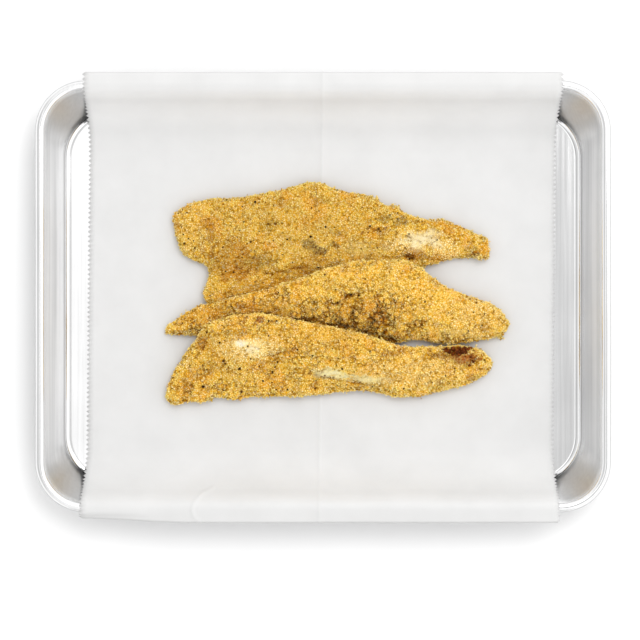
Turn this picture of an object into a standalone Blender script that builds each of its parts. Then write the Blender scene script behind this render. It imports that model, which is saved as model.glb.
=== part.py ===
"""Three cornmeal-crusted fried fish fillets on baking parchment in a small aluminium sheet pan.

Metres, +Z up. The origin is the middle of the pan's flat underside. +X runs along the pan's long
side, towards the fillets' tail ends, and +Y towards the pan's back. The pan, the parchment and each
fillet are separate solids. The fillets lie like shingles: the middle one leans on the back one, and
the front one leans on the middle one.
"""

import math
from collections import namedtuple

import bmesh
import bpy
from mathutils import Vector, noise
from mathutils.bvhtree import BVHTree

MM = 0.001
GAP = 0.3 * MM  # between pieces that touch

# Pan: a drawn sheet with sloping walls and a rolled rim
PAN_LENGTH = 328 * MM
PAN_WIDTH = 246 * MM
PAN_HEIGHT = 26 * MM
SHEET = 1.0 * MM
RIM_CORNER = 29 * MM  # plan radius of the rim's outer edge
FLOOR_CORNER = 28 * MM  # plan radius where the floor's flat ends
BEAD = 2.8 * MM  # radius of the rolled rim
WALL_SLOPE = math.radians(66.4)  # from the horizontal
FILLET = 4.0 * MM  # inside radius between floor and wall
CORNER_STEPS = 8
FILLET_STEPS = 4
BEAD_STEPS = 12

# Parchment: a strip off a roll, laid front to back, its two torn ends cut in teeth by the box
PARCHMENT_WIDTH = 271.6 * MM  # between the tips of the teeth, on the floor
FLARE = 0.9 * MM  # how much further out each torn end runs at the walls
SKEW = 2.0 * MM  # how far the sheet lies to the left at the front, against the back
DIP_FROM, DIP_TO = -70 * MM, -136 * MM  # where the front-left corner starts to bend down, and its end
DIP = 2.4 * MM
PARCHMENT = 0.3 * MM
TOOTH_PITCH = 2.75 * MM
TOOTH_DEPTH = 1.5 * MM
CREASE_X = 0.4 * MM
CREASE_WIDTH = 3.0 * MM
CREASE_HEIGHT = 0.4 * MM
ROW_TURN = math.radians(9)  # a new row of faces at least at every such turn
ROW_TEETH = 9  # and at least every so many teeth
FLOOR_END, RIM_START, PAST_RIM = 88 * MM, 112 * MM, 122.5 * MM  # distances from the pan's middle along Y
# Its middle line in section, over the back wall and over the front one: how far from the pan's
# middle, and how high it runs above its place on the floor. Millimetres.
UP_THE_WALL = [(92, 0.8), (99, 3.3), (105.2, 7.7), (110.3, 14.1), (113.6, 20.1), (116.7, 23.8), (119.3, 25)]
BACK_CURVE = [(84, 0), *UP_THE_WALL, (122, 25.1), (127.3, 24.7)]
FRONT_CURVE = [(84, 0), *UP_THE_WALL, (122, 25.1), (128.6, 24.3)]
CURVE_STEPS = 12

# Fillets. Each station is a line across the fillet: its back and front edge points in plan, its
# thickness, and its crest's place from 0 at the front edge to 1 at the back. Millimetres.
Station = namedtuple("Station", "back front thick crest")
BACK_FILLET = [
    Station((-86.0, 49.0), (-86.5, 40.5), 5.5, 0.50),
    Station((-79.5, 52.6), (-83.6, 29.6), 7.8, 0.52),
    Station((-72.0, 55.6), (-77.6, 22.0), 9.0, 0.55),
    Station((-61.0, 57.4), (-67.8, 18.0), 9.5, 0.60),
    Station((-51.0, 57.8), (-65.8, 10.5), 9.8, 0.66),
    Station((-41.0, 58.8), (-69.6, 0.5), 9.8, 0.70),
    Station((-30.5, 60.8), (-59.0, -7.0), 10.0, 0.72),
    Station((-5.0, 66.5), (-13.5, 2.0), 11.0, 0.68),
    Station((8.5, 62.0), (5.0, 7.5), 11.0, 0.64),
    Station((28.5, 57.8), (27.0, 11.5), 10.8, 0.60),
    Station((36.3, 52.9), (35.0, 13.0), 10.6, 0.58),
    Station((42.0, 53.0), (41.0, 13.8), 10.3, 0.56),
    Station((48.5, 48.2), (47.5, 14.8), 10.0, 0.55),
    Station((63.5, 44.2), (61.5, 18.0), 9.0, 0.50),
    Station((70.5, 44.9), (70.0, 20.4), 8.6, 0.50),
    Station((79.0, 41.2), (79.0, 22.2), 7.8, 0.50),
    Station((95.3, 34.2), (96.3, 21.8), 6.0, 0.50),
]
MIDDLE_FILLET = [
    Station((-90.6, -16.8), (-91.0, -21.4), 4.0, 0.50),
    Station((-84.5, -12.6), (-84.0, -22.6), 5.2, 0.50),
    Station((-76.5, -7.6), (-76.0, -22.8), 6.2, 0.52),
    Station((-65.5, -3.4), (-64.0, -24.4), 7.0, 0.56),
    Station((-33.5, 4.0), (-30.5, -27.0), 9.0, 0.64),
    Station((1.0, 16.0), (4.0, -29.5), 11.8, 0.68),
    Station((18.5, 20.5), (21.5, -29.0), 12.6, 0.66),
    Station((36.5, 21.0), (40.0, -27.0), 12.6, 0.62),
    Station((51.0, 19.8), (53.5, -25.5), 12.2, 0.58),
    Station((72.5, 5.2), (74.5, -27.2), 11.5, 0.52),
    Station((98.0, -4.2), (99.5, -23.8), 9.0, 0.50),
    Station((106.2, -12.3), (106.7, -19.2), 6.0, 0.50),
]
FRONT_FILLET = [
    Station((-90.6, -53.4), (-90.2, -61.2), 6.0, 0.50),
    Station((-86.0, -42.4), (-84.0, -62.8), 8.0, 0.52),
    Station((-80.8, -34.6), (-77.0, -60.6), 9.0, 0.54),
    Station((-74.0, -25.4), (-70.0, -61.8), 9.6, 0.62),
    Station((-66.8, -15.4), (-61.5, -58.4), 10.0, 0.70),
    Station((-52.5, -10.9), (-49.8, -60.2), 10.4, 0.78),
    Station((-44.0, -9.8), (-42.0, -58.6), 10.5, 0.78),
    Station((-35.0, -9.5), (-23.5, -58.0), 10.6, 0.78),
    Station((-13.0, -13.5), (-10.0, -57.6), 11.0, 0.74),
    Station((24.0, -21.5), (22.5, -54.5), 11.5, 0.66),
    Station((37.5, -26.0), (37.5, -57.2), 11.5, 0.62),
    Station((51.0, -28.6), (54.0, -57.9), 11.2, 0.58),
    Station((82.5, -28.2), (84.0, -50.6), 9.5, 0.54),
    Station((92.4, -31.2), (93.5, -45.4), 8.0, 0.50),
    Station((97.5, -36.6), (98.0, -41.8), 5.5, 0.50),
]
# Single lumps and hollows of the crust: place in plan, radius, and height, below 0 for a hollow
BACK_LUMPS = [
    (29.5, 57.0, 2.6, 1.3),
    (41.5, 51.0, 2.6, 1.4),
    (68.0, 43.0, 3.6, 1.8),
    (93.5, 24.5, 3.0, 1.2),
    (58.0, 20.0, 2.6, -1.6),
    (8.0, 34.0, 6.5, -0.8),
]
MIDDLE_LUMPS = [
    (-86.0, -19.0, 3.0, 0.8),
    (19.0, -0.5, 3.4, -1.9),
    (-1.5, -4.5, 4.2, -1.3),
    (28.0, -14.0, 4.4, -1.4),
    (47.0, -14.5, 3.6, -1.3),
    (60.0, -6.0, 3.6, -1.0),
    (74.5, -25.5, 3.2, 1.4),
    (88.0, -20.5, 3.0, 0.8),
]
FRONT_LUMPS = [
    (-68.0, -60.0, 3.0, 1.4),
    (-85.0, -60.5, 4.0, 1.4),
    (-32.0, -38.5, 4.2, -1.2),
    (-25.5, -33.0, 3.4, 0.8),
    (12.0, -44.5, 6.5, -1.0),
    (77.5, -31.0, 3.6, 1.5),
    (86.0, -35.0, 4.2, 1.2),
    (66.0, -29.5, 2.6, -1.0),
]

LINE_STEP = 3.0 * MM  # between the lines of faces across a fillet
TOP_STEPS = 14
BOTTOM_PLACES = (0.965, 0.84, 0.62, 0.38, 0.16, 0.035)
EDGE_SHARE = 0.38  # of the thickness, how high the widest line runs
EDGE_LIMIT = 3.6 * MM
BACK_ROUNDNESS = 2.4  # powers of the dome behind and in front of the crest
FRONT_ROUNDNESS = 1.75
NOSE = 0.9 * MM  # how far the middle of each end stands out
SWELL_SIZE = 17 * MM
SWELL_HEIGHT = 0.9 * MM
CRAG_SIZE = 5.6 * MM
CRAG_HEIGHT = 0.85 * MM
RAGGED = 0.8 * MM  # how far the outline wanders
LEAN_SPREAD = 5  # lines over which a fillet's lean is evened out
LEAN_SAG = 1.25
REACH = 2.6 * MM  # a fillet that rests on another clears all of it within this reach
THINNEST, THINNEST_EDGE = 2.6 * MM, 1.2 * MM
CRUST_AT_EDGE = 0.35  # share of the crust's relief that is left at the edges
UNDER_ROUNDING = 0.6  # of the edge's height, how far up the underside curves towards it


def material(name, colour, roughness, metallic=0.0):
    """A plain Principled material."""
    made = bpy.data.materials.new(name)
    made.use_nodes = True
    shader = made.node_tree.nodes["Principled BSDF"]
    shader.inputs["Base Color"].default_value = (*colour, 1.0)
    shader.inputs["Roughness"].default_value = roughness
    shader.inputs["Metallic"].default_value = metallic
    return made


def tree_of(made):
    """For finding what lies below a point."""
    places = [vertex.co.copy() for vertex in made.data.vertices]
    return BVHTree.FromPolygons(places, [tuple(face.vertices) for face in made.data.polygons])


def object_from(name, points, faces, surface, sharp_angle=math.radians(40)):
    """A shaded object made of these points and faces, its faces turned outwards."""
    mesh = bpy.data.meshes.new(name)
    mesh.from_pydata(points, [], faces)
    bm = bmesh.new()
    bm.from_mesh(mesh)
    bmesh.ops.recalc_face_normals(bm, faces=bm.faces)
    bm.to_mesh(mesh)
    bm.free()
    mesh.shade_smooth()
    mesh.set_sharp_from_angle(angle=sharp_angle)
    mesh.materials.append(surface)
    made = bpy.data.objects.new(name, mesh)
    bpy.context.scene.collection.objects.link(made)
    return made


def ring_faces(ring, next_ring):
    """Quads between two closed rings of points, given as lists of their numbers."""
    count = len(ring)
    return [
        (ring[i], ring[(i + 1) % count], next_ring[(i + 1) % count], next_ring[i])
        for i in range(count)
    ]


def between(a, b, c, d, t):
    """A Catmull-Rom curve's value between b and c."""
    return b + 0.5 * t * (c - a + t * (2 * a - 5 * b + 4 * c - d + t * (3 * (b - c) + d - a)))


def smooth(points, steps):
    """A curve through tuples of numbers, with this many steps in each stretch."""
    ends = [points[0], *points, points[-1]]
    curve = []
    for i, count in enumerate(steps):
        for step in range(count):
            curve.append(tuple(between(*four, step / count) for four in zip(*ends[i : i + 4])))
    return [*curve, points[-1]]


# Pan


def wall_foot():
    """The inner wall's lowest and highest points, each (inset from the rim's outer edge, height)."""
    top_inset = BEAD + BEAD * math.sin(WALL_SLOPE)
    top_height = PAN_HEIGHT - BEAD + BEAD * math.cos(WALL_SLOPE)
    foot_height = SHEET + FILLET * (1 - math.cos(WALL_SLOPE))
    foot_inset = top_inset + (top_height - foot_height) / math.tan(WALL_SLOPE)
    return (foot_inset, foot_height), (top_inset, top_height)


def corner_at(inset, height):
    """Plan radius of the pan's corner, which changes evenly down the wall."""
    (foot_inset, foot_height), (top_inset, top_height) = wall_foot()
    share = min(1.0, max(0.0, (top_height - height) / (top_height - foot_height)))
    wall_inset = top_inset + share * (foot_inset - top_inset)
    wall_corner = (RIM_CORNER - top_inset) * (1 - share) + FLOOR_CORNER * share
    return wall_corner + wall_inset - inset


def arc(centre, radius, start, end, steps):
    """Points of an arc in section, as (inset, height). At angle 0 a point is straight out of the pan."""
    angles = [start + (end - start) * i / steps for i in range(steps + 1)]
    return [(centre[0] - radius * math.cos(a), centre[1] + radius * math.sin(a)) for a in angles]


def pan_profile():
    """(inset, height, corner radius) of each ring, from the floor's edge over the rim to the underside."""
    (foot_inset, foot_height), _ = wall_foot()
    fillet_centre = (foot_inset + FILLET * math.sin(WALL_SLOPE), SHEET + FILLET)
    down, wall_side = math.radians(-90), WALL_SLOPE - math.radians(90)
    inside = arc(fillet_centre, FILLET, down, wall_side, FILLET_STEPS)
    outside = arc(fillet_centre, FILLET + SHEET, wall_side, down, FILLET_STEPS)
    meets = math.acos((BEAD - SHEET) / BEAD)
    leaves_wall = WALL_SLOPE + math.radians(90)
    bead = arc((BEAD, PAN_HEIGHT - BEAD), BEAD, leaves_wall, leaves_wall + meets - 2 * math.pi, BEAD_STEPS)
    rings = [(inset, height, corner_at(inset, height)) for inset, height in inside]
    rings += [(inset, height, RIM_CORNER - inset) for inset, height in bead]
    return rings + [(inset, height, corner_at(inset, height)) for inset, height in outside]


def rounded_rectangle(inset, height, corner):
    """A ring of points round the pan, this far inside the rim's outer edge."""
    half_x, half_y = PAN_LENGTH / 2 - inset - corner, PAN_WIDTH / 2 - inset - corner
    ring = []
    for quarter, (sx, sy) in enumerate([(1, 1), (-1, 1), (-1, -1), (1, -1)]):
        for step in range(CORNER_STEPS + 1):
            angle = math.radians(90) * (quarter + step / CORNER_STEPS)
            x, y = corner * math.cos(angle), corner * math.sin(angle)
            ring.append((sx * half_x + x, sy * half_y + y, height))
    return ring


def make_pan():
    points, rings = [], []
    for ring in pan_profile():
        rings.append(range(len(points), len(points) + 4 * (CORNER_STEPS + 1)))
        points += rounded_rectangle(*ring)
    faces = [face for ring, after in zip(rings, rings[1:]) for face in ring_faces(ring, after)]
    faces += [tuple(rings[0]), tuple(rings[-1])]
    return object_from("pan", points, faces, material("aluminium", (0.78, 0.78, 0.79), 0.3, 1.0))


# Parchment


def parchment_path():
    """Evenly spaced (y, z) points of its middle line from front to back, half a tooth apart."""
    floor = SHEET + GAP + PARCHMENT / 2
    front = smooth(FRONT_CURVE[::-1], [CURVE_STEPS] * (len(FRONT_CURVE) - 1))
    back = smooth(BACK_CURVE, [CURVE_STEPS] * (len(BACK_CURVE) - 1))
    line = [(-y * MM, z * MM + floor) for y, z in front] + [(y * MM, z * MM + floor) for y, z in back]
    lengths = [0.0]
    for here, there in zip(line, line[1:]):
        lengths.append(lengths[-1] + math.dist(here, there))
    count = 2 * round(lengths[-1] / TOOTH_PITCH)
    path, i = [], 0
    for step in range(count + 1):
        target = lengths[-1] * step / count
        while i < len(line) - 2 and lengths[i + 1] < target:
            i += 1
        t = (target - lengths[i]) / (lengths[i + 1] - lengths[i])
        path.append(tuple(a + (b - a) * t for a, b in zip(line[i], line[i + 1])))
    return path


def directions(path):
    """The path's angle from +Y at each point."""
    return [
        math.atan2(after[1] - before[1], after[0] - before[0])
        for before, after in zip([path[0], *path[:-1]], [*path[1:], path[-1]])
    ]


def ease(value, start, end):
    """0 before the start and 1 after the end, with a soft change between."""
    t = min(1.0, max(0.0, (value - start) / (end - start)))
    return t * t * (3 - 2 * t)


def settled(x, y, z):
    """The sheet lies askew, its torn ends flare at the walls, and its front-left corner bends down."""
    flare = FLARE * ease(abs(y), FLOOR_END, RIM_START) * x / (PARCHMENT_WIDTH / 2)
    skew = SKEW * (y / PAN_WIDTH - 0.5)
    dip = DIP * ease(x, DIP_FROM, DIP_TO) * ease(-y, PAST_RIM, 128 * MM)
    return (x + flare + skew, y + dip, z - dip)


def parchment_rows(angles):
    """The numbers of the tooth notches where a row of the sheet's larger faces starts."""
    rows = [0]
    for notch in range(2, len(angles), 2):
        turned = abs(angles[min(notch + 2, len(angles) - 1)] - angles[rows[-1]])
        if notch == len(angles) - 1 or turned > ROW_TURN or notch - rows[-1] >= 2 * ROW_TEETH:
            rows.append(notch)
    return rows


def make_parchment():
    """The sheet's two faces are split into triangles alike, and a wall runs round its edge."""
    path = parchment_path()
    angles = directions(path)
    rows = parchment_rows(angles)
    half = PARCHMENT_WIDTH / 2
    notch_x, inner_x = half - TOOTH_DEPTH, half - 4 * TOOTH_DEPTH
    columns = [-inner_x, CREASE_X - CREASE_WIDTH / 2, CREASE_X, CREASE_X + CREASE_WIDTH / 2, inner_x]
    points, number = [], {}

    def point(key, x, place, raised=0.0):
        y, z = path[place]
        across = (-math.sin(angles[place]), math.cos(angles[place]))
        for side in (-1, 1):
            number[key, side] = len(points)
            off = side * PARCHMENT / 2 + raised
            points.append(settled(x, y + across[0] * off, z + across[1] * off))

    for row in rows:
        for column, x in enumerate(columns):
            point(("inner", column, row), x, row, CREASE_HEIGHT if x == CREASE_X else 0.0)
    for place in range(len(path)):
        reach = notch_x if place % 2 == 0 else half
        point(("edge", -1, place), -reach, place)
        point(("edge", 1, place), reach, place)

    triangles = []
    for row, after in zip(rows, rows[1:]):
        for column in range(len(columns) - 1):
            a, b = ("inner", column, row), ("inner", column + 1, row)
            c, d = ("inner", column + 1, after), ("inner", column, after)
            triangles += [(a, b, c), (a, c, d)]
        for side, column in ((-1, 0), (1, len(columns) - 1)):
            here, there = ("inner", column, row), ("inner", column, after)
            edge = [("edge", side, n) for n in range(row, after + 1)]
            fan = [(here, a, b) for a, b in zip(edge[::2], edge[2::2])] + [(here, edge[-1], there)]
            fan += list(zip(edge[::2], edge[1::2], edge[2::2]))
            triangles += fan if side == 1 else [(a, c, b) for a, b, c in fan]
    border = [("edge", 1, n) for n in range(len(path))]
    border += [("inner", column, rows[-1]) for column in reversed(range(len(columns)))]
    border += [("edge", -1, n) for n in reversed(range(len(path)))]
    border += [("inner", column, rows[0]) for column in range(len(columns))]
    faces = []
    for a, b, c in triangles:
        faces.append((number[a, 1], number[b, 1], number[c, 1]))
        faces.append((number[a, -1], number[c, -1], number[b, -1]))
    for a, b in zip(border, border[1:] + border[:1]):
        faces.append((number[a, 1], number[a, -1], number[b, -1]))
        faces.append((number[a, 1], number[b, -1], number[b, 1]))
    return object_from("parchment", points, faces, material("paper", (0.86, 0.86, 0.84), 0.7))


# Fillets


def lines_across(stations):
    """Evenly spaced lines across a fillet, each (back point, front point, thickness, crest), in metres."""
    plain = [(*s.back, *s.front, s.thick, s.crest) for s in stations]
    steps = [
        max(2, round(max(math.dist(a[:2], b[:2]), math.dist(a[2:4], b[2:4])) * MM / LINE_STEP))
        for a, b in zip(plain, plain[1:])
    ]
    lines = []
    for bx, by, fx, fy, thick, crest in smooth(plain, steps):
        lines.append((Vector((bx, by)) * MM, Vector((fx, fy)) * MM, thick * MM, crest))
    return lines


def dome(place, crest):
    """Height of the top, from 0 at a fillet's edges to 1 at its crest."""
    reach, power = (crest, FRONT_ROUNDNESS) if place < crest else (1 - crest, BACK_ROUNDNESS)
    off = min(1.0, abs(place - crest) / reach)
    return (1 - off**power) ** (1 / power)


def crust(x, y, seed, lumps):
    """Height of the crust's swells, crags, lumps and hollows."""
    height = SWELL_HEIGHT * noise.noise(Vector((x, y, 0)) / SWELL_SIZE + Vector((0, 0, seed)))
    height += CRAG_HEIGHT * noise.noise(Vector((x, y, 0)) / CRAG_SIZE + Vector((seed, seed, 0)))
    for lump_x, lump_y, radius, lump_height in lumps:
        far = math.dist((x, y), (lump_x * MM, lump_y * MM)) / (radius * MM)
        height += lump_height * MM * math.exp(-far * far)
    return height


def ragged(point, seed):
    return RAGGED * noise.noise(Vector((*point, 0)) / CRAG_SIZE + Vector((0, seed, seed)))


def height_over(trees, x, y):
    """A gap above the highest point of the pieces below within REACH of this place."""
    highest = 0.0
    spots = [(x, y)]
    for step in range(8):
        reach_x, reach_y = REACH * math.cos(step * math.pi / 4), REACH * math.sin(step * math.pi / 4)
        spots += [(x + reach_x, y + reach_y), (x + reach_x / 2, y + reach_y / 2)]
    for tree in trees:
        for spot in spots:
            hit = tree.ray_cast(Vector((*spot, 1.0)), Vector((0, 0, -1)))[0]
            if hit is not None:
                highest = max(highest, hit.z)
    return highest + GAP


def leans(lines, trees, floor):
    """How far each line's back edge is raised by what it rests on, evened out along the fillet."""
    raised = [height_over(trees, *line[0]) - floor for line in lines]
    evened = []
    for i in range(len(raised)):
        near = raised[max(0, i - LEAN_SPREAD) : i + LEAN_SPREAD + 1]
        evened.append(sum(near) / len(near))
    return evened


def make_fillet(name, stations, seed, lumps, trees, surface):
    """A fillet: flat or resting below, domed above, with a rounded edge and a craggy crust."""
    floor = SHEET + GAP + PARCHMENT + GAP
    lines = lines_across(stations)
    points, rings = [], []
    tops = [0.5 - 0.5 * math.cos(math.pi * i / TOP_STEPS) for i in range(TOP_STEPS + 1)]
    for (back, front, thick, crest), lean in zip(lines, leans(lines, trees, floor)):
        across = (back - front).normalized()
        back, front = back + across * ragged(back, seed), front - across * ragged(front, seed)
        edge = min(EDGE_LIMIT, EDGE_SHARE * thick)
        ring = []
        for place in tops:
            x, y = front.lerp(back, place)
            bed = floor + lean * place**LEAN_SAG
            rise = dome(place, crest)
            top = bed + edge + (thick - edge) * rise
            top += crust(x, y, seed, lumps) * (CRUST_AT_EDGE + (1 - CRUST_AT_EDGE) * rise)
            thinnest = THINNEST_EDGE + (THINNEST - THINNEST_EDGE) * rise
            ring.append((x, y, max(top, height_over(trees, x, y) + thinnest)))
        for place in BOTTOM_PLACES:
            x, y = front.lerp(back, place)
            bed = floor + lean * place**LEAN_SAG
            rounding = UNDER_ROUNDING * edge * (1 - (1 - abs(2 * place - 1) ** 8) ** 0.5)
            ring.append((x, y, max(bed, height_over(trees, x, y)) + rounding))
        rings.append(range(len(points), len(points) + len(ring)))
        points += ring
    faces = [face for ring, after in zip(rings, rings[1:]) for face in ring_faces(ring, after)]
    for ring, inner in ((rings[0], rings[1]), (rings[-1], rings[-2])):
        middle = sum((Vector(points[n]) for n in ring), Vector()) / len(ring)
        outwards = middle - sum((Vector(points[n]) for n in inner), Vector()) / len(inner)
        points.append(tuple(middle + outwards.normalized() * NOSE))
        faces += [(ring[i], ring[(i + 1) % len(ring)], len(points) - 1) for i in range(len(ring))]
    return object_from(name, points, faces, surface, math.radians(180))


def main():
    for old in list(bpy.data.objects):
        bpy.data.objects.remove(old)
    make_pan()
    below = [tree_of(make_parchment())]
    for name, stations, seed, lumps, colour in (
        ("fillet_back", BACK_FILLET, 3, BACK_LUMPS, (0.60, 0.40, 0.14)),
        ("fillet_middle", MIDDLE_FILLET, 11, MIDDLE_LUMPS, (0.64, 0.42, 0.15)),
        ("fillet_front", FRONT_FILLET, 23, FRONT_LUMPS, (0.62, 0.42, 0.16)),
    ):
        fillet = make_fillet(name, stations, seed, lumps, below, material(name + "_crust", colour, 0.75))
        below.append(tree_of(fillet))


main()
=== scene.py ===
"""Looks of the fried fish: bright pan metal, baking parchment, and the fillets' cornmeal crust.

Sizes are in millimetres times MM. A place on a fillet is (x, y) in millimetres in the model's frame.
"""

import math

import bmesh
import bpy
import numpy as np
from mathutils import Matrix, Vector, geometry, kdtree, noise
from mathutils.bvhtree import BVHTree


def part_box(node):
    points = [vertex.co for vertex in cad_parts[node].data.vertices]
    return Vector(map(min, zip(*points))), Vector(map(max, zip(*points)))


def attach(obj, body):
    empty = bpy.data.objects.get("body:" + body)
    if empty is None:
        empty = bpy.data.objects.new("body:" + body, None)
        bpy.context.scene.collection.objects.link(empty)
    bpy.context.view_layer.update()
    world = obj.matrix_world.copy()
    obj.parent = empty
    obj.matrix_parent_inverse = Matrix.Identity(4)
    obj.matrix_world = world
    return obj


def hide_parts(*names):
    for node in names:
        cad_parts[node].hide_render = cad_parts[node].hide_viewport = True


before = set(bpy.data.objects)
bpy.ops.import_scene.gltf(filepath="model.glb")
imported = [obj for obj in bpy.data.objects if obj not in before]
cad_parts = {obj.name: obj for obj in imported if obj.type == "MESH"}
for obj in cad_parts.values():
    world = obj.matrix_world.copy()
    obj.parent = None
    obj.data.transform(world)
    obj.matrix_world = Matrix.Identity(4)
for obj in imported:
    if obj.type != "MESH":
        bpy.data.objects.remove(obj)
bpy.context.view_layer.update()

MM = 0.001

# The photograph's view: straight down, over a point a little in front of the pan's middle
CAMERA_X, CAMERA_Y = -1.7 * MM, -13.46 * MM
CAMERA_OVER_RIM = 1100 * MM
VIEW_WIDTH_AT_RIM = 363.5 * MM
SENSOR = 36.0

# Light. The room's brightness is a sum of these: (direction, cosines where it starts and stops to change,
# brightness before and after)
SKY = [
    ((1, 0, 0.1), -0.4, 0.5, 1.16, 1.32),
    ((-0.62, 0, 0.78), 0.86, 0.95, 0.0, -0.4),
    ((-0.12, 0.05, 0.99), 0.965, 0.985, 0.0, 0.22),
    ((0.125, -0.04, 0.99), 0.97, 0.99, 0.0, -0.62),
    ((0, -1, 0.12), 0.88, 0.96, 0.0, -0.5),
]
KEY_PLACE = (0.42, 0.72, 1.40)
KEY_SIZE = 0.9
KEY_POWER = 8.6
TABLE_REACH = 3.0
TABLE_DROP = 0.3 * MM
TABLE_ALBEDO = 0.9

# Pan
PAN_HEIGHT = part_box("pan")[1].z
SHEET = 1.0 * MM
RIM_CORNER = 29 * MM
FLOOR_CORNER = 28 * MM
BEAD = 2.8 * MM
WALL_SLOPE = math.radians(66.4)
BEND = 4.0 * MM  # radius between floor and wall
CORNER_STEPS = 40
SIDE_STEPS = 24
BEAD_STEPS = 72
# The bead's thin lines are painted dark reflection lines.
BEAD_LINES = (149, 86, 70)  # where thin lines run along the bead, in degrees up from its outermost point
DENT = 0.10 * MM  # how far the walls wander from their true lines
DENT_SIZE = 46 * MM
# These rings carry painted dark reflection lines in the bend between floor and wall.
DARK_LINE_RINGS = (3, 12)  # where thin dark lines run round the pan inside, by ring from the floor's edge

# Parchment
PARCHMENT_WIDTH = 271.6 * MM
FLARE = 0.9 * MM  # how far each end spreads at the rims
SKEW = 2.0 * MM  # how far the strip leans from front to back
DIP = 2.4 * MM  # how far its front left corner hangs down
DIP_FROM, DIP_TO = 70 * MM, 136 * MM
PARCHMENT = 0.15 * MM
PARCHMENT_MIDDLE = 1.45 * MM  # height of its middle line on the pan's floor
TOOTH_PITCH = 2.75 * MM
TOOTH_DEPTH = 1.5 * MM
CREASE_X = -0.2 * MM
CREASE_HEIGHT, CREASE_WIDTH = 0.35 * MM, 0.8 * MM
KINK = [(-60.5, -110.3), (-67, -113.2), (-70.8, -117.5), (-72.2, -121.3), (-70.6, -125.5), (-67.1, -128.5)]
KINK_HEIGHT, KINK_WIDTH = 0.5 * MM, 0.9 * MM
FLOOR_END, RIM_START, PAST_RIM = 88 * MM, 112 * MM, 122.5 * MM
UP_THE_WALL = [
    (92, 0.8), (99, 3.3), (105.2, 7.7), (110.3, 14.1), (113.6, 20.1), (116.7, 23.8), (119.3, 25),
]
BACK_CURVE = [(84, 0), *UP_THE_WALL, (122, 25.1), (127.3, 24.7)]
FRONT_CURVE = [(84, 0), *UP_THE_WALL, (122, 25.1), (128.6, 24.3)]
CURVE_STEPS = 12
PARCHMENT_COLUMN = 3.4 * MM

# Crust
SEED = 5
FILLETS = (("fillet_back", 3), ("fillet_middle", 11), ("fillet_front", 23))
VOXEL = 0.8 * MM
SINK_TOP, SINK_SIDE = 0.4 * MM, 0.1 * MM  # how far inside the solid the grains' bed lies
KNOB_SIZE = 3.2 * MM
KNOB_HEIGHT = 1.2 * MM
CREVICE_DEPTH = 1.1 * MM
SWELL_SIZE = 9 * MM
SWELL_HEIGHT = 0.8 * MM
PIT_SIZE = 1.4 * MM
PIT_HEIGHT = 0.42 * MM
SIDE_ROUGHNESS = 0.85
BIG_GRAINS = 5000
BIG_SPACING = 1.08 * MM
BIG_RADIUS = (0.4 * MM, 0.68 * MM)
GRAINS = 17400
GRAIN_SPACING = 0.52 * MM
GRAIN_RADIUS = (0.24 * MM, 0.42 * MM)
CLUMPS = 120
CLUMP_SPACING = 3.2 * MM
SMALL_CLUMP, LARGE_CLUMP = (4, 12), 20  # grains in a clump: from 4 to 11, or 20
CLUMP_SPREAD, LARGE_CLUMP_SPREAD = 0.42 * MM, 0.72 * MM
CLUMP_RADIUS = (0.3 * MM, 0.55 * MM)
CLUMP_HEIGHT = 7 * MM  # where the named clumps are sought
SPECK_RADIUS = (0.5 * MM, 0.8 * MM)
BED_SHADE = np.array([0.78, 0.51, 0.11])
BROWNED = np.array([0.52, 0.36, 0.09])  # what a browner grain keeps of each colour
SHADED = np.array([0.6, 0.84, 0.99])  # what a grain deep in a hollow loses of each colour
COVERED_UNDER = 1.5 * MM  # a crust this close under the next fillet doesn't show


def srgb(red, green, blue):
    """A colour as seen on screen, from 0 to 255, in the linear values that shaders use."""
    shares = np.array([red, green, blue], float) / 255
    return np.where(shares <= 0.04045, shares / 12.92, ((shares + 0.055) / 1.055) ** 2.4)


GOLD = srgb(249, 227, 125)
PALE_GOLD = srgb(255, 236, 176)
YELLOW = srgb(255, 232, 134)
OLIVE = srgb(226, 202, 122)
ORANGE = srgb(238, 182, 76)
BROWN = srgb(174, 114, 32)
DARK = srgb(104, 48, 0)
CHAR = srgb(72, 30, 2)
RUST = srgb(164, 88, 28)
AMBER = srgb(150, 78, 8)
CREAM = srgb(253, 243, 200)
FLOUR = srgb(244, 240, 222)
CHALK = srgb(228, 215, 178)
SKIN = srgb(222, 211, 162)
SCORCHED = srgb(134, 66, 8)
GREY = srgb(112, 80, 50)
PEPPER = srgb(44, 24, 2)

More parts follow.
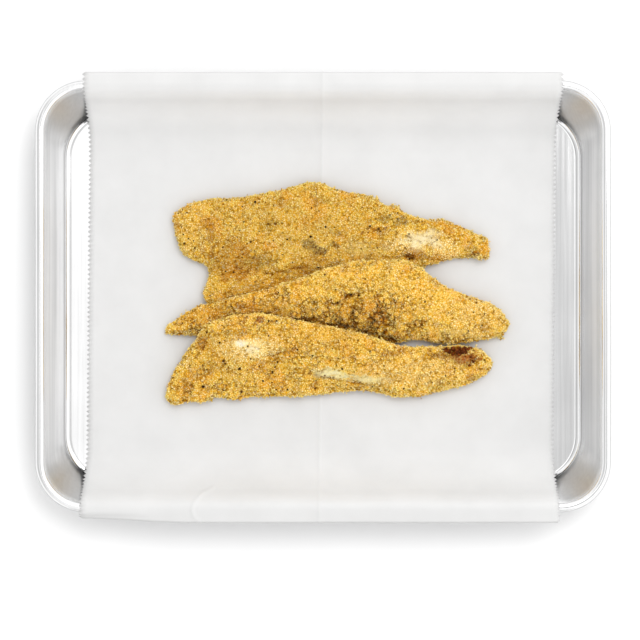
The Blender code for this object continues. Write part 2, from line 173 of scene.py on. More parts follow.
# Patches of each crust's colour: (x, y, reach in x, reach in y, colour, strength)
PATCHES = {
    "fillet_back": [
        (-20, 40, 60, 22, OLIVE, 0.5),
        (-76, 40, 12, 16, PALE_GOLD, 0.2),
        (-52, 20, 16, 14, BROWN, 0.5),
        (-28, 4, 34, 8, ORANGE, 0.39),
        (-6, 16, 16, 8, BROWN, 0.35),
        (22, 27, 18, 8, OLIVE, 0.6),
        (-35, 20.5, 13, 4, GREY, 0.35),
        (-7.5, 30, 4.4, 2.8, GREY, 0.7),
        (-1, 26.5, 5, 3, GREY, 0.95),
        (6, 29.5, 3.8, 2.8, GREY, 0.75),
        (10, 36, 3.4, 2.4, DARK, 0.4),
        (-30, 41.5, 6, 4, GREY, 0.28),
        (-24, 54, 7, 4, GREY, 0.22),
        (-2, 55, 8, 5, GREY, 0.25),
        (36, 44.5, 9, 3.4, GREY, 0.5),
        (44, 43, 6, 3, GREY, 0.5),
        (-30.5, 29, 4.4, 3.6, ORANGE, 0.62),
        (-62, 40.5, 5, 4, ORANGE, 0.43),
        (-65, 38, 3, 7, BROWN, 0.45),
        (-66, 45, 3, 3, ORANGE, 0.39),
        (-7, 52.5, 5, 4, ORANGE, 0.39),
        (-46.5, 52.5, 5, 3, ORANGE, 0.35),
        (76, 36, 9, 5, ORANGE, 0.31),
        (83, 31, 4, 4, ORANGE, 0.55),
        (66, 43, 5, 3, ORANGE, 0.55),
        (88, 25.5, 3, 2.2, BROWN, 0.9),
        (41, 51.5, 4, 2.5, ORANGE, 0.39),
        (57, 32.3, 17, 7.5, CREAM, 0.6),
        (58, 33, 13, 6, CHALK, 0.95),
        (44, 30, 11, 5.5, CREAM, 0.5),
        (72, 27, 10, 5, CREAM, 0.5),
        (52, 25, 7, 3, BROWN, 0.6),
        # Painted shade in the fold here.
        (50, 22.5, 3, 2, DARK, 0.75),
        (64, 22.5, 9, 2, BROWN, 0.4),
        (31, 38, 8, 4, BROWN, 0.35),
    ],
    "fillet_middle": [
        (58, -3, 28, 15, YELLOW, 0.7),
        (88, -10, 16, 13, PALE_GOLD, 0.5),
        (25, 12, 26, 6, YELLOW, 0.4),
        (22, -12, 34, 11, BROWN, 0.3),
        (-40, -8, 30, 7, BROWN, 0.35),
        (-40, -1, 34, 6, ORANGE, 0.23),
        (-76, -13, 14, 6, ORANGE, 0.27),
        (33, -11.5, 5, 5, RUST, 0.4),
        (28, -5, 8, 5, ORANGE, 0.31),
        # The DARK patches along its cracks are painted shade.
        (15, 0.5, 3, 2, DARK, 0.8),
        (8.5, -4.5, 3.5, 1.8, DARK, 0.65),
        (18.5, -5.5, 1.8, 2.6, DARK, 0.65),
        (17, -11, 1.6, 3.4, DARK, 0.6),
        (-5, -3, 3, 1.6, DARK, 0.5),
        (-8, -12.5, 6, 2, DARK, 0.55),
        (27.5, -13.5, 3, 2.2, DARK, 0.6),
        (38, -16.5, 4, 2, DARK, 0.55),
        (42.5, -21.5, 4, 2, BROWN, 0.7),
        (50.5, -19, 3.4, 1.8, DARK, 0.5),
        (78.5, -2, 3.4, 2.6, ORANGE, 0.55),
        (93, -19, 4, 3, BROWN, 0.35),
        (77, -21.5, 13, 3.5, OLIVE, 0.6),
        # Painted shadow: DARK patches along the edge where the front fillet meets this one.
        (-38, -10.5, 14, 1.6, DARK, 0.4),
        (22, -17, 16, 2.4, DARK, 0.45),
        (-10, -13.5, 9, 1.6, DARK, 0.55),
        (10, -17, 10, 1.8, DARK, 0.6),
        (26, -20.5, 9, 2, DARK, 0.75),
        (38, -24.5, 8, 2.4, DARK, 0.85),
        (-84, -20.5, 4, 1.6, BROWN, 0.6),
    ],
    "fillet_front": [
        (-55, -34, 22, 16, OLIVE, 0.5),
        (-5, -24, 34, 10, ORANGE, 0.23),
        (-41, -29.5, 19, 8, CREAM, 0.75),
        (-46.5, -27, 4.5, 2.6, FLOUR, 1.0),
        (-40, -30, 6, 2, FLOUR, 0.5),
        (-66, -42.5, 7, 5, GREY, 0.22),
        (-50, -20.5, 8, 2, GREY, 0.35),
        (-36, -13.5, 2.6, 2.2, RUST, 1.0),
        (-28.5, -14.5, 5, 1.8, BROWN, 0.6),
        (-29, -35, 3.6, 1.6, ORANGE, 0.62),
        (-28, -37.5, 7, 2, BROWN, 0.5),
        (1, -43.6, 10, 2.6, SKIN, 1.0),
        (9, -45.6, 12, 2.6, SKIN, 1.0),
        (19, -47.2, 12, 2.8, SKIN, 1.0),
        (30, -48.8, 13, 2.6, SKIN, 0.8),
        (18, -52, 18, 3, OLIVE, 0.6),
        (-68.5, -26, 4, 5, BROWN, 0.6),
        (-80, -55, 6, 7, ORANGE, 0.39),
        (-78.5, -52, 3, 6, BROWN, 0.6),
        (52, -42, 30, 11, PALE_GOLD, 0.5),
        (38, -32.5, 7, 2, BROWN, 0.6),
        (72, -34, 16, 3, BROWN, 0.4),
        (77, -30.8, 9, 2.2, SCORCHED, 0.9),
        (81, -35, 9, 4.2, AMBER, 1.0),
        (84, -36, 6, 3, RUST, 0.7),
        (85, -46, 4, 2.6, BROWN, 0.6),
    ],
}
BRIGHTNESS = {"fillet_back": 0.92, "fillet_middle": 1.0, "fillet_front": 1.0}
# How knobbly each crust is, and where it is more or less so: (x, y, reach in x, reach in y, factor)
KNOBBLY = {"fillet_back": 0.45, "fillet_middle": 1.0, "fillet_front": 0.7}
ROUGH_AREAS = {
    "fillet_back": [
        (58, 32, 15, 7, 0.3),
        (-10, 40, 45, 20, 0.6),
        (0, 28, 9, 6, 0.6),
    ],
    "fillet_middle": [
        (30, -13, 30, 10, 2.1),
        (78, -8, 34, 16, 0.35),
        (22, 10, 50, 9, 0.4),
        (60, 2, 26, 9, 0.5),
        (-60, -8, 34, 10, 0.55),
    ],
    "fillet_front": [
        (-42, -29, 16, 8, 0.2),
        (14, -46, 24, 6, 0.15),
        (-55, -36, 22, 13, 0.5),
        (0, -25, 50, 9, 0.6),
        (50, -42, 26, 10, 0.55),
    ],
}
# Where few grains stuck: (x, y, reach in x, reach in y, share of grains that is missing)
BARE = {
    "fillet_back": [
        (57.5, 33, 13, 5.6, 0.85),
        (0, 28, 8, 4, 0.3),
        (40, 44, 8, 3.5, 0.15),
        (22, 27, 12, 5, 0.4),
    ],
    "fillet_middle": [(77, -21.5, 12, 3, 0.4)],
    "fillet_front": [
        (-46, -27.3, 6, 2.8, 0.95),
        (-40, -30, 8, 4, 0.7),
        (4, -44, 13, 2.4, 0.98),
        (13, -46.2, 12, 2.2, 0.95),
        (25, -48, 12, 2.2, 0.85),
        (81, -35, 8, 4, 0.85),
    ],
}
# Folds, seams and hairline cracks: (half width, depth, places along it). A ridge's depth is below 0
GROOVES = {
    "fillet_back": [
        (1.0, 0.6, [(-66, 42), (-64.5, 37)]),
        (1.0, 0.7, [(-63.6, 31), (-63.8, 24)]),
        (0.45, 1.2, [(48, 34.8), (52, 34.0), (56, 31.6)]),
        (0.45, 1.2, [(61.5, 27.6), (63.5, 31.0), (66.5, 32.8)]),
        (0.4, 1.0, [(63.5, 31.0), (61.0, 34.4)]),
        (0.8, 0.8, [(40, 49), (47, 46.5), (58, 42)]),
        (1.0, 1.4, [(47, 23.5), (52, 22), (55, 23)]),
        (1.4, 0.4, [(-50, 17), (-30, 13), (-10, 17)]),
        (0.7, 0.8, [(22, 36), (27, 40), (33, 37), (38, 41)]),
    ],
    "fillet_middle": [
        (0.6, 1.1, [(18.5, -3.5), (17.5, -8), (16, -13)]),
        (0.7, 1.1, [(4, -5), (9, -4), (15, 0.5), (21, 1)]),
        (0.8, 1.2, [(25, -12), (33, -15), (40, -17)]),
        (0.7, 1.0, [(48, -19), (52, -18), (55, -15)]),
        (0.8, 0.8, [(40, -2), (43, -5)]),
        (0.8, 1.0, [(-12, -12), (-4, -13), (2, -10)]),
        (0.7, 1.1, [(20, -6), (24, -8.5), (23.5, -12)]),
        (0.7, 1.1, [(31, -5), (32.5, -9), (36, -11.5), (36.5, -15)]),
        (0.7, 1.1, [(43, -12), (45.5, -15.5), (50, -17)]),
        (0.7, 1.0, [(8, -12), (13, -14.5), (20, -15)]),
        (1.1, 1.3, [(-14, -13.5), (2, -16), (16, -18.6), (30, -22.5), (42, -25.5)]),
    ],
    "fillet_front": [
        (0.7, 1.1, [(-33, -34.5), (-28, -33.5), (-22, -31.5), (-14, -29.3)]),
        (0.6, 1.0, [(-7.5, -43.5), (-3, -46.2), (6, -47.2)]),
        (0.6, 0.7, [(6, -47.2), (14, -49), (24, -50.5)]),
        (2.2, -0.8, [(-51, -24), (-45, -28), (-36, -31.5)]),
        (0.32, 0.8, [(-42, -26.5), (-40, -29), (-36, -30)]),
        (1.0, 0.7, [(-73, -35), (-69, -30), (-66, -23)]),
        (0.9, 0.9, [(58, -31.5), (66, -33.5), (74, -34)]),
    ],
}
# Charred lumps: (x, y, radius)
LUMPS = {
    "fillet_front": [
        (70.8, -30.6, 1.2), (72.6, -31.6, 1.5), (74.8, -30.2, 1.5), (74.6, -32.8, 1.1),
        (76.9, -31.6, 1.5), (78.3, -30.1, 1.4), (79.8, -31.5, 1.3), (81.3, -30.1, 1.3),
        (83.1, -30.4, 1.2), (84.6, -29.9, 0.9), (81.6, -32.0, 1.1), (78.3, -33.0, 1.0),
        (68.8, -30.8, 0.6), (86.2, -31.2, 0.7), (86.5, -37.2, 0.9), (84.2, -39.6, 0.8),
        (84.8, -34.6, 0.7),
    ],
}
# Larger clumps of crumbs on the edges
EDGE_CLUMPS = {
    "fillet_back": [
        (27, 57.6), (28.5, 57.9), (30, 57.4), (31.5, 56.5), (40.5, 52.6), (42.5, 52.4),
        (44, 51.5), (64, 45.2), (66, 45.4), (68, 44.8), (70, 44), (86, 22),
        (88, 20.8), (90, 20), (92, 19.8), (94, 20.2), (95, 23), (94, 33),
    ],
    "fillet_middle": [
        (71, -26), (73, -26.6), (75, -26), (-86, -22.6), (-84, -23), (-80, -23),
        (-77, -22.8), (100, -20), (96, -23),
    ],
    "fillet_front": [
        (-84, -59.5), (-73, -59.5), (-66, -59.6), (-64, -59.8), (-62, -59), (84, -46.8),
        (86, -46.2), (88, -45), (80, -28.5), (88, -31), (91, -33), (93, -40),
        (-20, -57.5), (-12, -57.5), (62, -54.5), (47, -58),
    ],
}
# Crumbs that fell off onto the parchment
FALLEN = {"fillet_middle": [(102.8, -22.9), (103.8, -23.6)]}
# Pepper and burnt specks that stand out: their places
SPECKS = {
    "fillet_back": [
        (-46.5, 22.5), (-20.5, 33), (-7, 34.5), (-31.5, 42), (-27.5, 42), (-55.5, 56),
        (-39, 54.5), (-45.5, 43), (-77.5, 33.5), (-80.5, 36), (-80, 30.5), (1.5, 40),
        (-6.5, 51), (-41.5, 31.5), (-57.5, 28.5), (8.5, 61.5), (-2.5, 17), (-51.5, 14),
        (-56, 14.5), (50, 22), (27, 40.5), (33, 37.5), (32, 39), (49.5, 36), (22, 27.5),
    ],
    "fillet_middle": [
        (58.5, -3), (88.5, -3.5), (91.5, -16.5), (93, -10), (48.5, -0.5), (20.5, 0.5),
        (7.5, -13), (1, 12.5), (8, -3.5), (-5, -3), (11, -4.5), (16, 1), (33, -9), (41, -2),
    ],
    "fillet_front": [
        (-59, -26.5), (-69, -39.5), (-56, -38.5), (-57, -37), (-31, -22.5), (-43, -28.5),
        (-14.5, -30.5), (-6, -34), (9, -35.5), (-26, -37.5), (-27.5, -40.5), (-29, -43.5),
        (-36.5, -40), (-48, -41.5), (-34.5, -48.5), (-20.5, -53.5), (-27, -53.5), (-4.5, -53),
        (-47, -55), (-69, -52), (-66.5, -20.5), (93, -36.5), (63, -49.5), (27, -31.5),
        (20, -25), (11, -41.5), (70.5, -45.5), (35, -39.5), (46.5, -53), (-31, -14),
        (-29, -14), (-26.5, -14),
    ],
}
RANDOM_SPECKS = {"fillet_back": 70, "fillet_middle": 80, "fillet_front": 60}


# Meshes


def new_object(name, data):
    """An object in the scene that holds this data."""
    made = bpy.data.objects.new(name, data)
    bpy.context.scene.collection.objects.link(made)
    return made


def mesh_object(name, points, faces):
    """An object made of these points and faces, shaded smooth."""
    mesh = bpy.data.meshes.new(name)
    mesh.from_pydata(points, [], faces)
    mesh.shade_smooth()
    return new_object(name, mesh)


def triangles_object(name, points, triangles, tints, gloss):
    """An object made of many loose triangles, given as arrays, with a colour and gloss at each point."""
    mesh = bpy.data.meshes.new(name)
    mesh.vertices.add(len(points))
    mesh.vertices.foreach_set("co", points.astype(np.float32).ravel())
    mesh.loops.add(3 * len(triangles))
    mesh.loops.foreach_set("vertex_index", triangles.astype(np.int32).ravel())
    mesh.polygons.add(len(triangles))
    mesh.polygons.foreach_set("loop_start", np.arange(0, 3 * len(triangles), 3, dtype=np.int32))
    mesh.update(calc_edges=True)
    mesh.validate()
    set_tint(mesh, tints, gloss)
    return new_object(name, mesh)


def set_tint(mesh, tints, gloss):
    """Stores a colour and, as its fourth value, a gloss at each point, for the mesh's material."""
    attribute = mesh.color_attributes.new("tint", "FLOAT_COLOR", "POINT")
    values = np.concatenate([tints, gloss[:, None]], axis=1)
    attribute.data.foreach_set("color", values.astype(np.float32).ravel())


def vertex_arrays(mesh):
    """The mesh's points and the normals there."""
    points = np.zeros((len(mesh.vertices), 3), np.float32)
    normals = np.zeros((len(mesh.vertices), 3), np.float32)
    mesh.vertices.foreach_get("co", points.ravel())
    mesh.vertex_normals.foreach_get("vector", normals.ravel())
    return points.astype(float), normals.astype(float)


def tree_of(mesh):
    """The mesh's faces, ready for rays and for finding the nearest place."""
    return BVHTree.FromPolygons([v.co for v in mesh.vertices], [p.vertices for p in mesh.polygons])


def finish_piece(piece, node, material):
    """The piece stands for a CAD node, or belongs to it where the node is already replaced."""
    piece.data.materials.clear()
    piece.data.materials.append(material)
    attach(piece, "root")
    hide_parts(node)


# Fields over a crust


def noise_at(points, size, shift=0.0):
    """Soft noise from about -1 to 1 at each point, with features of this size."""
    moved = points / size + shift
    return np.array([noise.noise(Vector(p)) for p in moved])


def cells_at(points, size, shift):
    """Scattered cells: how far each point is from its cell's seed, and from the next cell's border."""
    moved = points / size + shift
    nearest = np.array([noise.voronoi(Vector(p))[0][:2] for p in moved])
    return nearest[:, 0], nearest[:, 1] - nearest[:, 0]


def ease(values, start, end):
    """0 before the start and 1 after the end, with a soft change between."""
    t = np.clip((values - start) / (end - start), 0, 1)
    return t * t * (3 - 2 * t)


def mix(tone, colour, share):
    """The tone, moved this share of the way to the colour."""
    return tone + (colour - tone) * share[:, None]


def blob(points, x, y, reach_x, reach_y, wander):
    """1 inside an oval with a ragged edge, and 0 outside it."""
    far = np.hypot((points[:, 0] - x * MM) / (reach_x * MM), (points[:, 1] - y * MM) / (reach_y * MM))
    return 1 - ease(far + 0.5 * wander, 0.4, 1.3)


def wander_at(points, seed):
    """The noise that makes the edges of patches ragged."""
    return noise_at(points, 4.5 * MM, seed) + 0.6 * noise_at(points, 1.6 * MM, seed + 4.4)


def groove_at(points, grooves, seed):
    """How deep the folds and cracks are at each point, and how far inside one it is, from 0 to 1."""
    depth, inside = np.zeros(len(points)), np.zeros(len(points))
    astray = 0.7 * MM * noise_at(points, 3 * MM, seed + 1.9)
    broken = 0.15 + 0.85 * ease(noise_at(points, 2.8 * MM, seed + 8.3), -0.3, 0.25)
    for half_width, deep, places in grooves:
        nearest = np.full(len(points), 1.0)
        for start, end in zip(places, places[1:]):
            a, b = np.array(start) * MM, np.array(end) * MM
            t = np.clip(((points[:, :2] - a) @ (b - a)) / ((b - a) @ (b - a)), 0, 1)
            away = np.linalg.norm(points[:, :2] - a - t[:, None] * (b - a), axis=1)
            nearest = np.minimum(nearest, away)
        share = np.exp(-(((nearest + astray) / (half_width * MM)) ** 2)) * broken
        depth += share * deep * MM
        inside = np.maximum(inside, share if deep > 0 else 0)
    return depth, inside


def bare_at(name, points, wander):
    """Where the grains are missing, from 0 to 1."""
    bare = np.zeros(len(points))
    for x, y, reach_x, reach_y, missing in BARE[name]:
        bare = np.maximum(bare, missing * blob(points, x, y, reach_x, reach_y, wander))
    return bare


def roughness_at(name, points, facing_up, wander):
    """How knobbly the crust is: the same all round its sides, and as its lists say on top."""
    rough = np.full(len(points), KNOBBLY[name])
    for x, y, reach_x, reach_y, factor in ROUGH_AREAS[name]:
        rough *= 1 - (1 - factor) * blob(points, x, y, reach_x, reach_y, wander)
    return SIDE_ROUGHNESS + (rough - SIDE_ROUGHNESS) * ease(facing_up, 0.1, 0.75)


def tone_at(name, points, seed, rng):
    """The crust's own colour. A patch takes some grains fully and leaves others, so its edge is mixed."""
    wander = wander_at(points, seed)
    blotches = noise_at(points, 9 * MM, seed + 7.1)
    mixed = rng.uniform(-0.32, 0.32, len(points))
    takes = rng.uniform(0.35, 1.2, len(points))
    tone = GOLD * BRIGHTNESS[name]
    tone = mix(tone, OLIVE, 0.5 * ease(blotches + 0.4 * mixed, -0.1, 0.6))
    tone = mix(tone, ORANGE, 0.45 * ease(0.4 * mixed - blotches, -0.05, 0.5))
    for x, y, reach_x, reach_y, colour, strength in PATCHES[name]:
        near = blob(points, x, y, reach_x, reach_y, wander)
        share = np.minimum(strength * takes * ease(near + 4 * mixed * near * (1 - near), 0.1, 0.9), 1)
        tone = mix(tone, colour, share)
    return tone


def relief_at(name, points, facing_up, seed):
    """How far the crust stands out at each point, and how deep in a hollow the point is, from 0 to 1."""
    wander = wander_at(points, seed)
    rough = roughness_at(name, points, facing_up, wander)
    near, border = cells_at(points, KNOB_SIZE, seed)
    open_here = ease(noise_at(points, 6 * MM, seed + 2.2), -0.3, 0.25)
    crevice = (1 - ease(border, 0.02, 0.26)) * open_here * rough
    pits = noise_at(points, PIT_SIZE, seed + 3.3) * (1 - bare_at(name, points, wander))
    depth, inside = groove_at(points, GROOVES[name], seed)
    height = KNOB_HEIGHT * rough * (0.42 - near) + PIT_HEIGHT * (0.4 + 0.6 * rough) * pits
    swell = SWELL_HEIGHT * (noise_at(points, SWELL_SIZE, seed + 5.7) - 0.2)
    height += swell - depth - CREVICE_DEPTH * crevice
    # The hollow share sets the painted shade in the crust's crevices, pits and folds.
    hollow = 1.1 * crevice + 0.45 * ease(-pits, 0.12, 0.6) + 0.9 * inside
    return height, np.clip(hollow, 0, 1)


# Crust


def remeshed(node):
    """A copy of a CAD node's mesh with small even faces."""
    made = new_object("remeshing", node.data.copy())
    bm = bmesh.new()
    bm.from_mesh(made.data)
    bmesh.ops.remove_doubles(bm, verts=bm.verts, dist=0.01 * MM)
    bm.to_mesh(made.data)
    bm.free()
    remesh = made.modifiers.new("even faces", "REMESH")
    remesh.mode = "VOXEL"
    remesh.voxel_size = VOXEL
    soften = made.modifiers.new("soften", "SMOOTH")
    soften.iterations = 6
    evaluated = made.evaluated_get(bpy.context.evaluated_depsgraph_get())
    mesh = bpy.data.meshes.new_from_object(evaluated)
    bpy.data.objects.remove(made)
    return mesh


def make_bed(name, seed, rng):
    """The crust under the grains: knobs, pits, folds and cracks, darker than the grains through painted
    shade, and darker still in its hollows.
    """
    mesh = remeshed(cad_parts[name])
    points, normals = vertex_arrays(mesh)
    height, hollow = relief_at(name, points, normals[:, 2], seed)
    sink = SINK_SIDE + (SINK_TOP - SINK_SIDE) * ease(normals[:, 2], 0.1, 0.7)
    moved = points + normals * (height * ease(normals[:, 2], -0.5, 0.1) - sink)[:, None]
    moved[:, 2] = np.maximum(moved[:, 2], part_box(name)[0].z)
    mesh.vertices.foreach_set("co", moved.astype(np.float32).ravel())
    mesh.update()
    mesh.name = name + "_crust"
    bare = bare_at(name, points, wander_at(points, seed))
    # Painted shade: BED_SHADE darkens the bed wherever grains cover it, and DARK darkens its crevices,
    # pits and folds.
    tint = mix(tone_at(name, moved, seed, rng) * mix(BED_SHADE, 1, bare), DARK, 0.85 * hollow)
    set_tint(mesh, tint, 0.25 * bare)
    mesh.shade_smooth()
    return new_object(name + "_crust", mesh)


def scattered(mesh, count, spacing, rng, keep):
    """Evenly spread places on the mesh and the normals there, more of them where keep is higher."""
    mesh.calc_loop_triangles()
    corners = np.zeros((len(mesh.loop_triangles), 3), np.int32)
    mesh.loop_triangles.foreach_get("vertices", corners.ravel())
    points, normals = vertex_arrays(mesh)
    a, b, c = (points[corners[:, i]] for i in range(3))
    areas = np.linalg.norm(np.cross(b - a, c - a), axis=1) * keep[corners].mean(axis=1)
    drawn = rng.choice(len(areas), size=count * 5, p=areas / areas.sum())
    u, v = rng.random(len(drawn)), rng.random(len(drawn))
    u, v = np.where(u + v > 1, 1 - u, u), np.where(u + v > 1, 1 - v, v)
    places = a[drawn] + u[:, None] * (b - a)[drawn] + v[:, None] * (c - a)[drawn]
    ups = normals[corners[drawn]].mean(axis=1)
    tree = kdtree.KDTree(len(places))
    for i, place in enumerate(places):
        tree.insert(place, i)
    tree.balance()
    dropped = np.zeros(len(places), bool)
    kept = []
    for i, place in enumerate(places):
        if dropped[i]:
            continue
        kept.append(i)
        if len(kept) == count:
            break
        for _, other, _ in tree.find_range(place, spacing):
            dropped[other] = True
    return places[kept], ups[kept] / np.linalg.norm(ups[kept], axis=1)[:, None]


def solid_of(subdivisions):
    """Points and triangles of an octahedron (0), an icosahedron (1) or a finer ball, of radius 1."""
    bm = bmesh.new()
    if subdivisions:
        bmesh.ops.create_icosphere(bm, subdivisions=subdivisions, radius=1)
    else:
        for axis in range(3):
            for sign in (1, -1):
                bm.verts.new(Vector([sign if i == axis else 0 for i in range(3)]))
        bmesh.ops.convex_hull(bm, input=bm.verts)
    points = np.array([v.co for v in bm.verts])
    bm.verts.index_update()
    triangles = np.array([[v.index for v in f.verts] for f in bm.faces])
    bm.free()
    return points, triangles


def turns(count, rng):
    """Random turns in space, as matrices."""
    q = rng.normal(size=(count, 4))
    q /= np.linalg.norm(q, axis=1)[:, None]
    w, x, y, z = q.T
    rows = [
        [1 - 2 * (y * y + z * z), 2 * (x * y - z * w), 2 * (x * z + y * w)],
        [2 * (x * y + z * w), 1 - 2 * (x * x + z * z), 2 * (y * z - x * w)],
        [2 * (x * z - y * w), 2 * (y * z + x * w), 1 - 2 * (x * x + y * y)],
    ]
    return np.array(rows).transpose(2, 0, 1)


def grains_at(places, radii, subdivisions, rng):
    """Points and triangles of one broken grain at each place, and how many points each has."""
    solid, triangles = solid_of(subdivisions)
    shapes = solid[None] * (1 + 0.22 * rng.uniform(-1, 1, (len(places), len(solid), 1)))
    shapes = shapes * rng.uniform(0.72, 1.25, (len(places), 1, 3))
    shapes = np.einsum("nij,nkj->nki", turns(len(places), rng), shapes)
    points = places[:, None] + shapes * radii[:, None, None]
    numbers = triangles[None] + (np.arange(len(places)) * len(solid))[:, None, None]
    return points.reshape(-1, 3), numbers.reshape(-1, 3), len(solid)


def joined(parts):
    """One set of points, triangles and tints from several."""
    points, triangles, tints, start = [], [], [], 0
    for part_points, part_triangles, part_tints in parts:
        points.append(part_points)
        triangles.append(part_triangles + start)
        tints.append(part_tints)
        start += len(part_points)
    return np.concatenate(points), np.concatenate(triangles), np.concatenate(tints)


def showing(mesh, above):
    """How much each point of the mesh shows: 0 under a fillet that lies over it, and on the underside."""
    points, normals = vertex_arrays(mesh)
    share = ease(normals[:, 2], -0.35, -0.1)
    up = Vector((0, 0, 1))
    for tree in above:
        for i in np.flatnonzero(share):
            start = Vector(points[i])
            hit = tree.ray_cast(start + up * 0.05 * MM, up, 60 * MM)[0]
            if hit is not None and (hit - start).length < COVERED_UNDER:
                share[i] = 0
    return share


def make_grains(name, bed, seed, above, rng):
    """Cornmeal stuck all over the bed: bigger grains first, finer ones between them."""
    mesh = bed.data
    points, normals = vertex_arrays(mesh)
    _, hollow = relief_at(name, points, normals[:, 2], seed)
    shows = showing(mesh, above)
    keep = shows * (1 - bare_at(name, points, wander_at(points, seed))) * (1 - 0.75 * hollow)
    parts = []
    for count, spacing, sizes in (
        (BIG_GRAINS, BIG_SPACING, BIG_RADIUS),
        (GRAINS, GRAIN_SPACING, GRAIN_RADIUS),
    ):
        places, ups = scattered(mesh, count, spacing, rng, keep)
        radii = sizes[0] + (sizes[1] - sizes[0]) * rng.random(len(places)) ** 1.4
        _, hollow = relief_at(name, places, ups[:, 2], seed)
        tone = tone_at(name, places, seed, rng)
        places = places + ups * (radii * rng.uniform(0.1, 0.7, len(places)))[:, None]
        part_points, part_triangles, each = grains_at(places, radii, 0, rng)
        # The draw follows the pits' noise, so grains are paler on the bumps and browner in the dips.
        draw = 0.5 + 0.75 * noise_at(places, PIT_SIZE, seed + 3.3)
        draw += rng.uniform(-0.22, 0.22, len(places))
        tint = grain_tints(tone, hollow, draw, rng)
        parts.append((part_points, part_triangles, np.repeat(tint, each, axis=0)))
    parts.append(clumps_at(name, mesh, shows, seed, rng))
    points, triangles, tints = joined(parts)
    return triangles_object(name + "_grains", points, triangles, tints, np.zeros(len(points)))


def grain_tints(tone, hollow, draw, rng):
    """The grains' colours: paler for a high draw, browner for a low one, and darker in hollows through
    painted shade.
    """
    pale = PALE_GOLD * np.clip(tone.mean(axis=1) / GOLD.mean(), 0.3, 1.1)[:, None]
    tint = mix(tone, pale, 0.9 * ease(draw, 0.5, 0.9))
    tint = mix(tint, tone * BROWNED, 0.9 * ease(-draw, -0.36, -0.08))
    # Painted shade in hollows.
    tint = tint * (1 - SHADED * (hollow * rng.uniform(0.4, 1, len(tone)))[:, None])
    return np.clip(tint, 0, 1)


def clumps_at(name, mesh, shows, seed, rng):
    """Clumps of crumbs that stand out from the fillet's sides, and those that fell off beside it."""
    _, normals = vertex_arrays(mesh)
    keep = shows * (1 - ease(normals[:, 2], 0.25, 0.6))
    middles, ups = scattered(mesh, CLUMPS, CLUMP_SPACING, rng, keep)
    middles = middles + ups * rng.uniform(0, 0.5, (len(middles), 1)) * MM
    tree = tree_of(mesh)
    named = [tree.find_nearest(Vector((x, y, CLUMP_HEIGHT / MM)) * MM)[0] for x, y in EDGE_CLUMPS[name]]
    named += [Vector((x * MM, y * MM, PARCHMENT_MIDDLE + 0.9 * MM)) for x, y in FALLEN.get(name, [])]
    middles = np.concatenate([middles, np.array(named)])
    large = np.arange(len(middles)) >= len(middles) - len(named)
    counts = np.where(large, LARGE_CLUMP, rng.integers(*SMALL_CLUMP, len(middles)))
    owners = np.repeat(np.arange(len(middles)), counts)
    spread = np.where(large, LARGE_CLUMP_SPREAD, CLUMP_SPREAD)[owners]
    places = middles[owners] + rng.normal(0, 1, (len(owners), 3)) * spread[:, None]
    places[:, 2] = np.clip(places[:, 2], PARCHMENT_MIDDLE + 0.5 * MM, None)
    radii = rng.uniform(*CLUMP_RADIUS, len(places)) * np.where(large, 1.25, 1.0)[owners]
    points, triangles, each = grains_at(places, radii, 0, rng)
    browner = (0.35 * rng.random(len(middles)))[owners]
    tone = mix(tone_at(name, places, seed, rng), BROWN, browner)
    tint = grain_tints(tone, np.zeros(len(places)), rng.random(len(places)), rng)
    return points, triangles, np.repeat(tint, each, axis=0)


def top_of(tree, x, y):
    """The highest place at (x, y) in millimetres, or None where there is nothing."""
    return tree.ray_cast(Vector((x * MM, y * MM, 1)), Vector((0, 0, -1)))[0]


def make_specks(name, bed, rng):
    """Pepper, burnt specks and charred lumps on the crust."""
    tree = tree_of(bed.data)
    places = []
    for x, y in SPECKS[name]:
        top = top_of(tree, x, y)
        if top is not None:
            places.append(top + Vector((0, 0, 0.6 * MM)))
    named = len(places)
    _, normals = vertex_arrays(bed.data)
    spread, ups = scattered(bed.data, RANDOM_SPECKS[name], 4 * MM, rng, ease(normals[:, 2], 0.1, 0.5))
    places = np.concatenate([np.array(places), spread + ups * 0.35 * MM])
    radii = rng.uniform(*SPECK_RADIUS, len(places))
    radii[named:] *= 0.6
    points, triangles, each = grains_at(places, radii, 1, rng)
    tints = mix(PEPPER, BROWN * 0.4, rng.random(len(places)) ** 2)
    parts = [(points, triangles, np.repeat(tints, each, axis=0))]
    for x, y, radius in LUMPS.get(name, []):
        place = np.array([top_of(tree, x, y)]) + (0, 0, 0.3 * radius * MM)
        size = np.array([radius * MM])
        points, triangles, each = grains_at(place, size, 3, rng)
        lumpy = points + (points - place) * 0.35 * noise_at(points, 0.8 * MM)[:, None]
        tint = mix(CHAR, SCORCHED, ease(noise_at(points, 1.1 * MM, x), -0.1, 0.4))
        parts.append((lumpy, triangles, tint))
    points, triangles, tints = joined(parts)
    return triangles_object(name + "_specks", points, triangles, tints, np.full(len(points), 0.12))


# Pan


def corner_at(inset, height, foot, top):
    """Plan radius of the pan's corner, which changes evenly down the wall."""
    share = min(1.0, max(0.0, (top[1] - height) / (top[1] - foot[1])))
    wall_inset = top[0] + share * (foot[0] - top[0])
    return (RIM_CORNER - top[0]) * (1 - share) + FLOOR_CORNER * share + wall_inset - inset


def arc(centre, radius, start, end, steps):
    """Points of an arc in section, as (inset, height). At angle 0 a point is straight out of the pan."""
    angles = [start + (end - start) * i / steps for i in range(steps + 1)]
    return [(centre[0] - radius * math.cos(a), centre[1] + radius * math.sin(a)) for a in angles]


